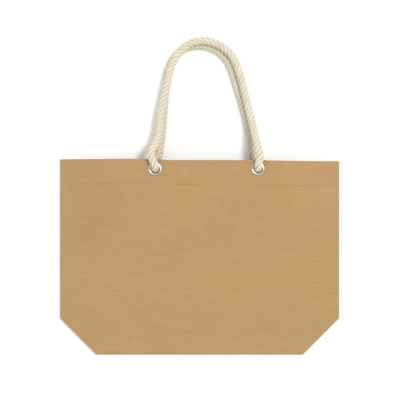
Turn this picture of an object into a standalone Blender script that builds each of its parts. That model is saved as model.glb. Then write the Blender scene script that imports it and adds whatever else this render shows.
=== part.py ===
"""Tote bag with two rope handles, lying empty on its back.

Units are metres. The front face looks up (+Z), the mouth and the handles point
towards +Y and +X is to the right. The origin lies under the middle of the bag's
body, on the surface that the bag rests on.
"""

import math

import bmesh
import bpy
from mathutils import Vector

# The flat bag
BAG_WIDTH = 0.500
BAG_HEIGHT = 0.350
BASE_DEPTH = 0.130
CLOTH = 0.0012
GAP = 0.0003

# Seams and hem
SEAM_WIDTH = 0.0080
CORNER_SEAM_WIDTH = 0.0050
HEM_DEPTH = 0.045
FACING = 0.0010

# Rope and knots
ROPE_DIAMETER = 0.014
ROPE_RADIUS = ROPE_DIAMETER / 2
ROPE_IN_HOLE = 0.0066
KNOT_RADIUS = 0.0135
KNOT_OFFSET = 0.024
TAIL_LENGTH = 0.030

# Eyelets: their middle lies a little to the right of the bag's middle
EYELET_SPACING = 0.182
EYELET_SHIFT = 0.012
EYELET_BELOW_EDGE = 0.018
FLANGE_RADIUS = 0.0125
FLANGE_THICKNESS = 0.0015
BARREL_BORE = 0.0071
BARREL_RADIUS = 0.0078
CLOTH_HOLE = 0.0082
WASHER_RADIUS = 0.012
WASHER_THICKNESS = 0.0012
BARREL_LIP = 0.0005

# How the empty bag bulges
BELLY = 0.018
BELLY_RISE = 0.120
FRONT_FLAT = 0.041
FRONT_FALL = 0.125
FRONT_RISE_START = -0.040
BACK_FLAT = 0.024
BACK_FALL = 0.080
BACK_RISE_START = 0.030
RISE_END = 0.135

TOP = BAG_HEIGHT / 2
BOTTOM = -BAG_HEIGHT / 2
FOLD_TOP = BOTTOM + BASE_DEPTH / 2
HALF_WIDTH = BAG_WIDTH / 2
HALF_BASE = HALF_WIDTH - BASE_DEPTH / 2
EYELET_Y = TOP - EYELET_BELOW_EDGE
EYELET_X = {
    "left": EYELET_SHIFT - EYELET_SPACING / 2,
    "right": EYELET_SHIFT + EYELET_SPACING / 2,
}

# Heights of the layers at the eyelets, from the surface upwards
BACK_ROPE_Z = ROPE_RADIUS + 0.0001
BACK_FLANGE_Z = 2 * ROPE_RADIUS + 0.0020
BACK_LIFT = BACK_FLANGE_Z + GAP
KNOT_Z = BACK_LIFT + CLOTH + GAP + FACING + KNOT_RADIUS
FRONT_LIFT = KNOT_Z + KNOT_RADIUS + GAP + FACING + GAP
FRONT_FLANGE_Z = FRONT_LIFT + CLOTH + GAP
FRONT_ROPE_Z = FRONT_FLANGE_Z + FLANGE_THICKNESS + ROPE_RADIUS + GAP

# Height of the front cloth along its edges, above the folded layers
FOLDED_LAYERS = 2 * CLOTH + GAP
FRONT_EDGE = CLOTH + GAP + FOLDED_LAYERS + GAP

# Mesh fineness
PANEL_COLUMNS = 26
BASE_ROWS = 3
BODY_ROWS = 12
HEM_ROWS = 3
TURNED_STEPS = 24
ROPE_POINT_SPACING = 0.020
ROPE_BEVEL_STEPS = 3
CURVE_STEPS = 12

# The two handles' routes from the left eyelet to the right one, as points on
# the middle of the rope. The front rope crosses the mouth and comes down onto
# the back rope, which lies on the surface a little inside it.
LEG_START = ROPE_RADIUS + 0.0006
FRONT_LOW_Z = 0.0215
FRONT_ROUTE = [
    (EYELET_X["left"], EYELET_Y + LEG_START, FRONT_ROPE_Z),
    (-0.0846, 0.1755, FRONT_ROPE_Z),
    (-0.0856, 0.1865, 0.0560),
    (-0.0808, 0.1965, 0.0510),
    (-0.0745, 0.2075, 0.0440),
    (-0.0712, 0.2195, 0.0365),
    (-0.0708, 0.2325, 0.0295),
    (-0.0706, 0.2465, 0.0245),
    (-0.0688, 0.2610, 0.0220),
    (-0.0655, 0.2760, 0.0215),
    (-0.0622, 0.2905, 0.0215),
    (-0.0588, 0.3055, 0.0215),
    (-0.0560, 0.3200, 0.0215),
    (-0.0526, 0.3345, 0.0215),
    (-0.0468, 0.3495, 0.0215),
    (-0.0375, 0.3640, 0.0215),
    (-0.0250, 0.3765, 0.0215),
    (-0.0100, 0.3842, 0.0215),
    (0.0070, 0.3865, 0.0215),
    (0.0235, 0.3832, 0.0215),
    (0.0385, 0.3765, 0.0215),
    (0.0508, 0.3675, 0.0215),
    (0.0602, 0.3550, 0.0215),
    (0.0678, 0.3385, 0.0215),
    (0.0740, 0.3190, 0.0215),
    (0.0790, 0.2990, 0.0215),
    (0.0840, 0.2780, 0.0215),
    (0.0885, 0.2590, 0.0225),
    (0.0925, 0.2420, 0.0265),
    (0.0962, 0.2260, 0.0330),
    (0.1000, 0.2080, 0.0440),
    (0.1036, 0.1920, 0.0545),
    (0.1068, 0.1775, FRONT_ROPE_Z),
    (EYELET_X["right"], EYELET_Y + LEG_START, FRONT_ROPE_Z),
]
BACK_ROUTE = [
    (EYELET_X["left"], EYELET_Y + LEG_START, BACK_ROPE_Z),
    (-0.0758, 0.1740, BACK_ROPE_Z),
    (-0.0722, 0.1855, BACK_ROPE_Z),
    (-0.0700, 0.1990, BACK_ROPE_Z),
    (-0.0686, 0.2120, BACK_ROPE_Z),
    (-0.0670, 0.2250, BACK_ROPE_Z),
    (-0.0656, 0.2385, BACK_ROPE_Z),
    (-0.0645, 0.2520, BACK_ROPE_Z),
    (-0.0636, 0.2665, BACK_ROPE_Z),
    (-0.0625, 0.2810, BACK_ROPE_Z),
    (-0.0612, 0.2955, BACK_ROPE_Z),
    (-0.0598, 0.3100, BACK_ROPE_Z),
    (-0.0576, 0.3245, BACK_ROPE_Z),
    (-0.0542, 0.3385, BACK_ROPE_Z),
    (-0.0484, 0.3525, BACK_ROPE_Z),
    (-0.0385, 0.3648, BACK_ROPE_Z),
    (-0.0255, 0.3740, BACK_ROPE_Z),
    (-0.0105, 0.3788, BACK_ROPE_Z),
    (0.0045, 0.3792, BACK_ROPE_Z),
    (0.0180, 0.3765, BACK_ROPE_Z),
    (0.0298, 0.3712, BACK_ROPE_Z),
    (0.0400, 0.3640, BACK_ROPE_Z),
    (0.0486, 0.3545, BACK_ROPE_Z),
    (0.0548, 0.3435, BACK_ROPE_Z),
    (0.0595, 0.3320, BACK_ROPE_Z),
    (0.0638, 0.3190, BACK_ROPE_Z),
    (0.0680, 0.3050, BACK_ROPE_Z),
    (0.0725, 0.2900, BACK_ROPE_Z),
    (0.0768, 0.2760, BACK_ROPE_Z),
    (0.0806, 0.2620, BACK_ROPE_Z),
    (0.0842, 0.2480, BACK_ROPE_Z),
    (0.0870, 0.2340, BACK_ROPE_Z),
    (0.0895, 0.2190, BACK_ROPE_Z),
    (0.0918, 0.2050, BACK_ROPE_Z),
    (0.0945, 0.1905, BACK_ROPE_Z),
    (0.0985, 0.1760, BACK_ROPE_Z),
    (EYELET_X["right"], EYELET_Y + LEG_START, BACK_ROPE_Z),
]

COLOURS = {
    "cloth": ((0.565, 0.356, 0.159), 0.88, 0.0),
    "thread": ((0.50, 0.31, 0.14), 0.80, 0.0),
    "rope": ((0.80, 0.73, 0.60), 0.90, 0.0),
    "nickel": ((0.62, 0.60, 0.56), 0.30, 1.0),
}


def clear_scene():
    """Remove whatever the file holds."""
    for scene_object in list(bpy.data.objects):
        bpy.data.objects.remove(scene_object, do_unlink=True)


def make_material(node_name, finish):
    """A Principled material of its own for one sub-part."""
    colour, roughness, metallic = COLOURS[finish]
    material = bpy.data.materials.new(node_name + "_material")
    material.use_nodes = True
    shader = material.node_tree.nodes["Principled BSDF"]
    shader.inputs["Base Color"].default_value = (*colour, 1.0)
    shader.inputs["Roughness"].default_value = roughness
    shader.inputs["Metallic"].default_value = metallic
    material.diffuse_color = (*colour, 1.0)
    return material


def add_object(name, data, finish):
    """Put a mesh or a curve in the scene with its own material."""
    new_object = bpy.data.objects.new(name, data)
    bpy.context.scene.collection.objects.link(new_object)
    data.materials.append(make_material(name, finish))
    return new_object


def smooth_step(value):
    """An S-shaped rise from 0 at 0 to 1 at 1."""
    value = min(max(value, 0.0), 1.0)
    return value * value * (3.0 - 2.0 * value)


def even_steps(start, stop, count):
    """count + 1 evenly spaced values, both ends included."""
    return [start + (stop - start) * step / count for step in range(count + 1)]


# ---------------------------------------------------------------- cloth shape


def half_width_at(y):
    """Half the bag's width, narrower along the two slanted bottom corners."""
    return HALF_WIDTH - max(FOLD_TOP - y, 0.0)


def near_eyelets(x, flat, fall):
    """1 around each eyelet, falling smoothly to 0 away from both."""
    away = 1.0
    for eyelet_x in EYELET_X.values():
        reach = (abs(x - eyelet_x) - flat) / fall
        away *= 1.0 - smooth_step(1.0 - reach)
    return 1.0 - away


def near_mouth(y, start):
    """0 below start, rising smoothly to 1 just below the eyelets."""
    return smooth_step((y - start) / (RISE_END - start))


def back_height(x, y):
    """Underside of the back cloth: flat, but lifted by the back rope."""
    across = near_eyelets(x, BACK_FLAT, BACK_FALL)
    return BACK_LIFT * across * near_mouth(y, BACK_RISE_START)


def front_height(x, y):
    """Underside of the front cloth: a low belly, lifted by the knots."""
    rise = smooth_step((y - BOTTOM) / BELLY_RISE)
    across = 1.0 - (abs(x) / half_width_at(y)) ** 3
    belly = FRONT_EDGE + BELLY * rise * across
    lifted = near_eyelets(x, FRONT_FLAT, FRONT_FALL) * near_mouth(y, FRONT_RISE_START)
    return belly + (FRONT_LIFT - belly) * lifted


def cloth_solid(name, finish, points, lower, thickness):
    """A closed sheet over rows of (x, y) points, as thick as said.

    lower(x, y) is the height of its underside. All sheets split their squares
    along the same diagonal, so that layers over each other stay parallel.
    """
    mesh = bmesh.new()
    bottom = [[mesh.verts.new((x, y, lower(x, y))) for x, y in row] for row in points]
    top = [
        [mesh.verts.new((x, y, lower(x, y) + thickness)) for x, y in row]
        for row in points
    ]
    last_row = len(points) - 1
    last_column = len(points[0]) - 1
    for row in range(last_row):
        for column in range(last_column):
            for layer, turned in ((top, False), (bottom, True)):
                corner = layer[row][column]
                right = layer[row][column + 1]
                far = layer[row + 1][column + 1]
                above = layer[row + 1][column]
                for triangle in ((corner, right, far), (corner, far, above)):
                    mesh.faces.new(triangle[::-1] if turned else triangle)
    rim = [(0, column) for column in range(last_column)]
    rim += [(row, last_column) for row in range(last_row)]
    rim += [(last_row, column) for column in range(last_column, 0, -1)]
    rim += [(row, 0) for row in range(last_row, 0, -1)]
    for start, end in zip(rim, rim[1:] + rim[:1]):
        low_start, low_end = bottom[start[0]][start[1]], bottom[end[0]][end[1]]
        high_start, high_end = top[start[0]][start[1]], top[end[0]][end[1]]
        mesh.faces.new((low_start, low_end, high_end, high_start))
    data = bpy.data.meshes.new(name)
    mesh.to_mesh(data)
    mesh.free()
    return add_object(name, data, finish)


def panel_columns():
    """Places across a panel as shares of its half width, edges included.

    The first and last steps are as wide as the side seam.
    """
    inner = 1.0 - (SEAM_WIDTH + 2 * GAP) / HALF_WIDTH
    return [-1.0] + even_steps(-inner, inner, PANEL_COLUMNS) + [1.0]


def body_rows():
    """Heights of the rows of points from the base to the mouth."""
    hem_bottom = TOP - HEM_DEPTH
    rows = even_steps(BOTTOM, FOLD_TOP, BASE_ROWS)[:-1]
    rows += even_steps(FOLD_TOP, hem_bottom, BODY_ROWS)[:-1]
    return rows + hem_rows()


def hem_rows():
    """Heights of the rows of points in the hem."""
    return even_steps(TOP - HEM_DEPTH, TOP, HEM_ROWS)


def hole_cutter(name, x):
    """A drill for the rope's hole through the cloth at one eyelet."""
    data = bpy.data.meshes.new(name)
    mesh = bmesh.new()
    bmesh.ops.create_cone(
        mesh,
        cap_ends=True,
        segments=TURNED_STEPS,
        radius1=CLOTH_HOLE,
        radius2=CLOTH_HOLE,
        depth=0.2,
    )
    mesh.to_mesh(data)
    mesh.free()
    cutter = bpy.data.objects.new(name, data)
    bpy.context.scene.collection.objects.link(cutter)
    cutter.location = (x, EYELET_Y, 0.0)
    cutter.hide_render = True
    cutter.display_type = "WIRE"
    return cutter


def drill(piece, cutters):
    """Cut the eyelet holes through a layer of cloth."""
    for cutter in cutters:
        cut = piece.modifiers.new("hole_" + cutter.name, "BOOLEAN")
        cut.operation = "DIFFERENCE"
        cut.object = cutter


def make_panels(cutters):
    """The front and back panels, and the hem facings turned inside them."""
    columns = panel_columns()
    panel = [[(share * half_width_at(y), y) for share in columns] for y in body_rows()]
    facing = [[(share * HALF_WIDTH, y) for share in columns[1:-1]] for y in hem_rows()]

    def front_facing_height(x, y):
        return front_height(x, y) - GAP - FACING

    def back_facing_height(x, y):
        return back_height(x, y) + CLOTH + GAP

    drill(cloth_solid("front_panel", "cloth", panel, front_height, CLOTH), cutters)
    drill(cloth_solid("back_panel", "cloth", panel, back_height, CLOTH), cutters)
    front = cloth_solid(
        "front_hem_facing", "cloth", facing, front_facing_height, FACING
    )
    back = cloth_solid("back_hem_facing", "cloth", facing, back_facing_height, FACING)
    drill(front, cutters)
    drill(back, cutters)


# ------------------------------------------------------- folded base and seams


def prism(mesh, outline, low, high):
    """Add an upright prism over an outline that runs anticlockwise."""
    bottom = [mesh.verts.new((x, y, low)) for x, y in outline]
    top = [mesh.verts.new((x, y, high)) for x, y in outline]
    mesh.faces.new(bottom[::-1])
    mesh.faces.new(top)
    for index in range(len(outline)):
        after = (index + 1) % len(outline)
        mesh.faces.new((bottom[index], bottom[after], top[after], top[index]))


def flat_block(name, finish, outline):
    """One flat piece as thick as the two folded layers inside the bag."""
    low = CLOTH + GAP
    mesh = bmesh.new()
    prism(mesh, outline, low, low + FOLDED_LAYERS)
    data = bpy.data.meshes.new(name)
    mesh.to_mesh(data)
    mesh.free()
    return add_object(name, data, finish)


def open_fold(piece):
    """Part a folded piece into two layers that join along its upper edge."""
    low = CLOTH + GAP + CLOTH
    reach = BAG_WIDTH
    fold = FOLD_TOP - GAP - CLOTH
    outline = [(-reach, 2 * BOTTOM), (reach, 2 * BOTTOM), (reach, fold), (-reach, fold)]
    data = bpy.data.meshes.new(piece.name + "_slit")
    mesh = bmesh.new()
    prism(mesh, outline, low, low + GAP)
    mesh.to_mesh(data)
    mesh.free()
    slit = bpy.data.objects.new(piece.name + "_slit", data)
    bpy.context.scene.collection.objects.link(slit)
    slit.hide_render = True
    slit.display_type = "WIRE"
    cut = piece.modifiers.new("fold", "BOOLEAN")
    cut.operation = "DIFFERENCE"
    cut.object = slit


def mirrored(outline, side):
    """The outline for the right side, or its mirror image for the left."""
    if side > 0:
        return outline
    return [(-x, y) for x, y in reversed(outline)]


def make_folded_base():
    """The base folded up inside, its corner gussets and all inner seams."""
    low_y = BOTTOM + GAP
    high_y = FOLD_TOP - GAP
    inner_x = HALF_BASE - CORNER_SEAM_WIDTH
    base_outline = [(-inner_x, low_y), (inner_x, low_y)]
    base_outline += [(inner_x, high_y), (-inner_x, high_y)]
    open_fold(flat_block("base_panel", "cloth", base_outline))

    seam_x = inner_x + GAP
    gusset_x = HALF_BASE + GAP
    slant = high_y - GAP
    corner_seam = [(seam_x, low_y), (HALF_BASE, low_y)]
    corner_seam += [(HALF_BASE, high_y), (seam_x, high_y)]
    gusset = [(gusset_x, BOTTOM + 2 * GAP), (gusset_x + slant - BOTTOM, slant + GAP)]
    gusset += [(gusset_x, slant + GAP)]
    seam_low = FOLD_TOP + GAP
    side_seam = [(HALF_WIDTH - SEAM_WIDTH, seam_low), (HALF_WIDTH, seam_low)]
    side_seam += [(HALF_WIDTH, TOP), (HALF_WIDTH - SEAM_WIDTH, TOP)]
    for name, side in (("left", -1), ("right", 1)):
        flat_block(name + "_corner_seam", "thread", mirrored(corner_seam, side))
        open_fold(flat_block(name + "_corner_gusset", "cloth", mirrored(gusset, side)))
        flat_block(name + "_side_seam", "thread", mirrored(side_seam, side))


# -------------------------------------------------------------------- eyelets


def turned(name, profile):
    """A ring turned from a closed profile of (radius, height) points."""
    mesh = bmesh.new()
    ring = [mesh.verts.new((radius, 0.0, height)) for radius, height in profile]
    edges = [mesh.edges.new(pair) for pair in zip(ring, ring[1:] + ring[:1])]
    bmesh.ops.spin(
        mesh,
        geom=ring + edges,
        axis=(0, 0, 1),
        cent=(0, 0, 0),
        angle=2 * math.pi,
        steps=TURNED_STEPS,
        use_merge=True,
    )
    bmesh.ops.remove_doubles(mesh, verts=mesh.verts, dist=0.00001)
    bmesh.ops.recalc_face_normals(mesh, faces=mesh.faces)
    data = bpy.data.meshes.new(name)
    mesh.to_mesh(data)
    mesh.free()
    data.shade_smooth()
    data.set_sharp_from_angle(angle=math.radians(35))
    return add_object(name, data, "nickel")


def eyelet_profile():
    """Barrel and rounded flange. Height 0 is the flange's underside."""
    depth = 3 * GAP + CLOTH + FACING + WASHER_THICKNESS + BARREL_LIP
    middle = (BARREL_RADIUS + FLANGE_RADIUS) / 2
    return [
        (BARREL_BORE, -depth),
        (BARREL_RADIUS, -depth),
        (BARREL_RADIUS, 0.0),
        (FLANGE_RADIUS, 0.0),
        (FLANGE_RADIUS, 0.3 * FLANGE_THICKNESS),
        (middle, FLANGE_THICKNESS),
        (BARREL_BORE, 0.5 * FLANGE_THICKNESS),
    ]


def washer_profile():
    """A flat ring around the barrel. Height 0 is the face towards the cloth."""
    inner = BARREL_RADIUS + GAP
    return [
        (inner, 0.0),
        (inner, -WASHER_THICKNESS),
        (WASHER_RADIUS - 0.0006, -WASHER_THICKNESS),
        (WASHER_RADIUS, 0.0),
    ]


def make_eyelets():
    """Four eyelets with their washers on the inside of the cloth."""
    to_washer = 3 * GAP + CLOTH + FACING
    for panel, height, facing_up in (
        ("front", FRONT_FLANGE_Z, 1),
        ("back", BACK_FLANGE_Z, -1),
    ):
        turn = (0.0 if facing_up > 0 else math.pi, 0.0, 0.0)
        for side, x in EYELET_X.items():
            eyelet = turned(f"{panel}_{side}_eyelet", eyelet_profile())
            eyelet.location = (x, EYELET_Y, height)
            eyelet.rotation_euler = turn
            washer = turned(f"{panel}_{side}_washer", washer_profile())
            washer.location = (x, EYELET_Y, height - facing_up * to_washer)
            washer.rotation_euler = turn


# ---------------------------------------------------------------------- ropes


def smooth_route(route, spacing):
    """Points about a spacing apart on a smooth curve through the route."""
    points = [Vector(point) for point in route]
    points = [2 * points[0] - points[1]] + points + [2 * points[-1] - points[-2]]
    fine = []
    for before, start, end, after in zip(points, points[1:], points[2:], points[3:]):
        for step in range(CURVE_STEPS):
            t = step / CURVE_STEPS
            slope_in = (end - before) / 2
            slope_out = (after - start) / 2
            fine.append(
                start * (2 * t**3 - 3 * t**2 + 1)
                + slope_in * (t**3 - 2 * t**2 + t)
                + end * (3 * t**2 - 2 * t**3)
                + slope_out * (t**3 - t**2)
            )
    fine.append(points[-2])
    length = sum((b - a).length for a, b in zip(fine, fine[1:]))
    stretch = length / max(1, round(length / spacing))
    kept = [fine[0]]
    walked = 0.0
    for start, end in zip(fine, fine[1:]):
        walked += (end - start).length
        if walked >= stretch * len(kept) - 1e-9 and len(kept) * stretch < length - 1e-6:
            kept.append(end)
    kept.append(fine[-1])
    return kept


def rope_solid(name, points, radii):
    """A round closed tube through the points, with its own radius at each."""
    data = bpy.data.curves.new(name, "CURVE")
    data.dimensions = "3D"
    data.bevel_depth = 1.0
    data.bevel_resolution = ROPE_BEVEL_STEPS
    data.use_fill_caps = True
    spline = data.splines.new("POLY")
    spline.points.add(len(points) - 1)
    for spline_point, point, radius in zip(spline.points, points, radii):
        spline_point.co = (*point, 1.0)
        spline_point.radius = radius
    return add_object(name, data, "rope")


def make_handle(name, route, axis_height):
    """A rope arch that swings about a line through both of its eyelets."""
    pivot = bpy.data.objects.new(name + "_axis", None)
    bpy.context.scene.collection.objects.link(pivot)
    pivot.location = (0.0, EYELET_Y, axis_height)
    centre = Vector(pivot.location)
    points = [point - centre for point in smooth_route(route, ROPE_POINT_SPACING)]
    rope = rope_solid(name, points, [ROPE_RADIUS] * len(points))
    rope.parent = pivot


def make_rope_end(name, x, outside_z, out, sideways):
    """The rope through an eyelet, its stopper knot and its short tail.

    out is 1 where the rope leaves upwards and -1 where it leaves downwards;
    sideways is the direction in which the knot lies beside the eyelet.
    """
    knot_x = x + sideways * KNOT_OFFSET
    to_knot = KNOT_Z - outside_z
    shape = [
        (x, EYELET_Y, outside_z + out * 0.0064, 0.0024),
        (x, EYELET_Y, outside_z + out * 0.0045, 0.0048),
        (x, EYELET_Y, outside_z, ROPE_IN_HOLE),
        (x, EYELET_Y, outside_z + 0.62 * to_knot, ROPE_IN_HOLE),
        (x + sideways * 0.0014, EYELET_Y, outside_z + 0.72 * to_knot, ROPE_IN_HOLE),
        (x + sideways * 0.0080, EYELET_Y, outside_z + 0.86 * to_knot, ROPE_IN_HOLE),
        (knot_x - sideways * 0.0110, EYELET_Y - 0.001, KNOT_Z + out * 0.002, 0.0085),
        (knot_x - sideways * 0.0060, EYELET_Y - 0.002, KNOT_Z, 0.0120),
        (knot_x, EYELET_Y - 0.004, KNOT_Z, KNOT_RADIUS),
        (knot_x + sideways * 0.0030, EYELET_Y - 0.011, KNOT_Z, 0.0110),
        (knot_x + sideways * 0.0040, EYELET_Y - 0.017, KNOT_Z, 0.0070),
        (knot_x + sideways * 0.0040, EYELET_Y - 0.017 - TAIL_LENGTH / 2, KNOT_Z, 0.0068),
        (knot_x + sideways * 0.0040, EYELET_Y - 0.017 - TAIL_LENGTH, KNOT_Z, 0.0068),
    ]
    rope_solid(name, [point[:3] for point in shape], [point[3] for point in shape])


def make_ropes():
    """Two handles, and the four knotted ends inside the bag."""
    make_handle("front_handle_rope", FRONT_ROUTE, FRONT_ROPE_Z)
    make_handle("back_handle_rope", BACK_ROUTE, BACK_ROPE_Z)
    for side, x in EYELET_X.items():
        make_rope_end(f"front_{side}_rope_end", x, FRONT_ROPE_Z, 1, -1)
        make_rope_end(f"back_{side}_rope_end", x, BACK_ROPE_Z, -1, 1)


def main():
    """Build the whole bag."""
    clear_scene()
    cutters = [hole_cutter(f"{side}_hole", x) for side, x in EYELET_X.items()]
    make_panels(cutters)
    make_folded_base()
    make_eyelets()
    make_ropes()


main()
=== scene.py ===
# %% [markdown]
# # A tote bag with two rope handles
# The bag lies empty on its back on a pale floor: front face up, mouth and
# handles away from us. It is made of a few kinds of thing, and each gets its
# own lesson below: woven cloth that folds over at every edge, lines of thread,
# pressed metal eyelets, and rope that is laid up from four strands.
# Everything is measured from the frame, in metres, so nothing has to be fitted.

# %% Load the frame
import math

import bmesh
import bpy
import numpy as np
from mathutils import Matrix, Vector, noise


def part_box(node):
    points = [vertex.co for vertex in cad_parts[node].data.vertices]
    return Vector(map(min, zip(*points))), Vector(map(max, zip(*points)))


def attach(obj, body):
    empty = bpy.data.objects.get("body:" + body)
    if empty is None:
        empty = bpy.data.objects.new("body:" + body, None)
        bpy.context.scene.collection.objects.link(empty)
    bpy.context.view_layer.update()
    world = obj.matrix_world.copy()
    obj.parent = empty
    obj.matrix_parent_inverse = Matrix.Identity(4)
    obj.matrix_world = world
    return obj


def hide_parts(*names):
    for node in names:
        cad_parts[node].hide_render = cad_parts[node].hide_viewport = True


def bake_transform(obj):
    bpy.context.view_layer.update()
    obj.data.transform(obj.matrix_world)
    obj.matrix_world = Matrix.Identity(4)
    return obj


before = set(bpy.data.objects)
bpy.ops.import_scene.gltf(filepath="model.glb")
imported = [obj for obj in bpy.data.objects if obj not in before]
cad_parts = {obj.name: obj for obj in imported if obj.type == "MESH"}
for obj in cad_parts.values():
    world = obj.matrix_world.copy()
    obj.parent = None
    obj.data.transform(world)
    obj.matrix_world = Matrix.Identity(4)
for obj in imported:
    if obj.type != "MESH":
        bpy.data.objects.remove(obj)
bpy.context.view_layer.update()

# %% Places and sizes that everything shares
panel_low, panel_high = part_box("front_panel")
back_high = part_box("back_panel")[1]
eyelet_boxes = {side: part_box(f"front_{side}_eyelet") for side in ("left", "right")}
CLOTH = 0.0012
HALF_WIDTH = panel_high.x
TOP = panel_high.y
BOTTOM = panel_low.y
FOLD_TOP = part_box("base_panel")[1].y
HALF_BASE = HALF_WIDTH - (FOLD_TOP - BOTTOM)
EYELET_X = {side: (low.x + high.x) / 2 for side, (low, high) in eyelet_boxes.items()}
EYELET_Y = sum(corner.y for corner in eyelet_boxes["left"]) / 2
FRONT_LIFT = panel_high.z
BACK_LIFT = back_high.z - CLOTH
FRONT_EDGE = panel_low.z
HEM_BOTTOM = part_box("front_hem_facing")[0].y
print("bag", round(2 * HALF_WIDTH, 3), "x", round(TOP - BOTTOM, 3), "eyelets", EYELET_X)

# %% [markdown]
# ## Camera
# The bag is seen from straight above with a long lens, which keeps its
# outline almost free of perspective.

# %% Camera
CAMERA_HEIGHT = 3.0
VIEW_WIDTH = 0.7185
VIEW_MIDDLE = (0.0005, 0.1020)
camera_data = bpy.data.cameras.new("camera")
camera_data.lens = camera_data.sensor_width * CAMERA_HEIGHT / VIEW_WIDTH
camera = bpy.data.objects.new("camera", camera_data)
camera.location = (*VIEW_MIDDLE, CAMERA_HEIGHT)
bpy.context.scene.collection.objects.link(camera)
bpy.context.scene.camera = camera

# %% [markdown]
# ## Small tools
# A mesh is made from arrays of points and faces. Its UV map holds flat cloth
# sizes in metres, so a weave keeps its scale round every fold. Point
# attributes carry what a material wants to know, such as how far into a
# groove a point lies, which the rope's material turns into painted shade.


# %% Mesh from arrays
def add_object(name, mesh):
    """Link a mesh as a new object at the origin."""
    new_object = bpy.data.objects.new(name, mesh)
    bpy.context.scene.collection.objects.link(new_object)
    return new_object


def mesh_object(name, points, faces, material, uv=None, attributes=None):
    """A smooth object from points, faces, a UV value and attributes per point."""
    mesh = bpy.data.meshes.new(name)
    mesh.from_pydata([tuple(p) for p in points], [], [tuple(f) for f in faces])
    corners = np.zeros(len(mesh.loops), dtype=np.int32)
    mesh.loops.foreach_get("vertex_index", corners)
    if uv is not None:
        layer = mesh.uv_layers.new(name="UVMap")
        layer.data.foreach_set("uv", np.asarray(uv, np.float32)[corners].ravel())
    for key, values in (attributes or {}).items():
        attribute = mesh.attributes.new(key, "FLOAT", "POINT")
        attribute.data.foreach_set("value", np.asarray(values, np.float32))
    mesh.materials.append(material)
    mesh.shade_smooth()
    mesh.update()
    return add_object(name, mesh)


def flattened(piece):
    """The piece with its modifiers applied and removed."""
    graph = bpy.context.evaluated_depsgraph_get()
    mesh = bpy.data.meshes.new_from_object(piece.evaluated_get(graph))
    piece.modifiers.clear()
    piece.data = mesh
    return piece


def grid_faces(rows, columns, offset=0, closed=False, looped=False):
    """Squares between neighbouring points of a grid. closed joins its columns, looped its rows."""
    across = columns if closed else columns - 1
    down = rows if looped else rows - 1
    row, column = np.meshgrid(np.arange(down), np.arange(across), indexing="ij")
    after = (column + 1) % columns
    low, high = offset + row * columns, offset + (row + 1) % rows * columns
    quads = np.stack([low + column, low + after, high + after, high + column], -1)
    return quads.reshape(-1, 4)


def smooth_step(value):
    """An S-shaped rise from 0 at 0 to 1 at 1."""
    value = np.clip(value, 0.0, 1.0)
    return value * value * (3.0 - 2.0 * value)


def normalised(vectors):
    """The same directions, each 1 long."""
    return vectors / np.linalg.norm(vectors, axis=-1, keepdims=True)


def places_along(line):
    """Distance along a line from its start to each of its points."""
    steps = np.linalg.norm(np.diff(line, axis=0), axis=1)
    return np.concatenate([[0.0], np.cumsum(steps)])


# %% Shader group tools
def new_group(name, inputs, outputs):
    """A shader node group with named sockets, and its two end nodes."""
    group = bpy.data.node_groups.new(name, "ShaderNodeTree")
    for title, kind, value in inputs:
        socket = group.interface.new_socket(title, in_out="INPUT", socket_type="NodeSocket" + kind)
        if value is not None:
            socket.default_value = value
    for title, kind in outputs:
        group.interface.new_socket(title, in_out="OUTPUT", socket_type="NodeSocket" + kind)
    start = group.nodes.new("NodeGroupInput")
    end = group.nodes.new("NodeGroupOutput")
    return group, start, end


def link(group, source, target):
    """Join an output to an input, or set the input to a plain value."""
    if isinstance(source, bpy.types.NodeSocket):
        group.links.new(source, target)
    else:
        target.default_value = source


def set_inputs(node, values):
    """Set a node's inputs by name."""
    for title, value in values.items():
        node.inputs[title].default_value = value


def join(tree, source, title, target, into=None):
    """Join an output to the input of the same name, or of another."""
    tree.links.new(source.outputs[title], target.inputs[title if into is None else into])


def calculate(group, operation, first, second=0.0, third=None):
    """One Math node, and its result."""
    node = group.nodes.new("ShaderNodeMath")
    node.operation = operation
    link(group, first, node.inputs[0])
    link(group, second, node.inputs[1])
    if third is not None:
        link(group, third, node.inputs[2])
    return node.outputs[0]


def mixed_colour(group, share, first, second):
    """A colour between two others."""
    node = group.nodes.new("ShaderNodeMix")
    node.data_type = "RGBA"
    link(group, share, node.inputs["Factor"])
    link(group, first, node.inputs["A"])
    link(group, second, node.inputs["B"])
    return node.outputs["Result"]


def scaled_noise(group, vector, scale, detail=2.0, turn=0.0):
    """Noise over a vector that is stretched by its own factor each way."""
    mapping = group.nodes.new("ShaderNodeMapping")
    set_inputs(mapping, {"Scale": scale, "Rotation": (0.0, 0.0, turn)})
    link(group, vector, mapping.inputs["Vector"])
    texture = group.nodes.new("ShaderNodeTexNoise")
    set_inputs(texture, {"Scale": 1.0, "Detail": detail})
    join(group, mapping, "Vector", texture)
    return texture.outputs["Fac"]


def ranged(group, value, low, high, to_low=0.0, to_high=1.0):
    """A value moved from one range to another, clamped at both ends."""
    node = group.nodes.new("ShaderNodeMapRange")
    set_inputs(node, {"From Min": low, "From Max": high, "To Min": to_low, "To Max": to_high})
    link(group, value, node.inputs["Value"])
    return node.outputs["Result"]


# What a pattern group gives to a material
SURFACE = [("Color", "Color"), ("Roughness", "Float"), ("Height", "Float")]

# %% [markdown]
# ## Woven cloth
# The cloth is a plain weave of tan yarn. Two things make it look woven: the
# over-and-under of the threads, about 0.8 mm apart, with shade painted into the
# gaps between them, and the slubs, which are stretches of thicker and paler yarn
# that run across the bag. Both could be painted, but worked out from the UV map
# they stay sharp at any distance. One group holds the weave, so that all pieces
# of cloth share the same yarn.


# %% Weave group
YARN_PITCH = 0.0008
SLUB_SCALE = (22.0, 620.0, 1.0)
UPRIGHT_SCALE = (700.0, 30.0, 1.0)
PATCH_SCALE = (9.0, 14.0, 1.0)


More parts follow.
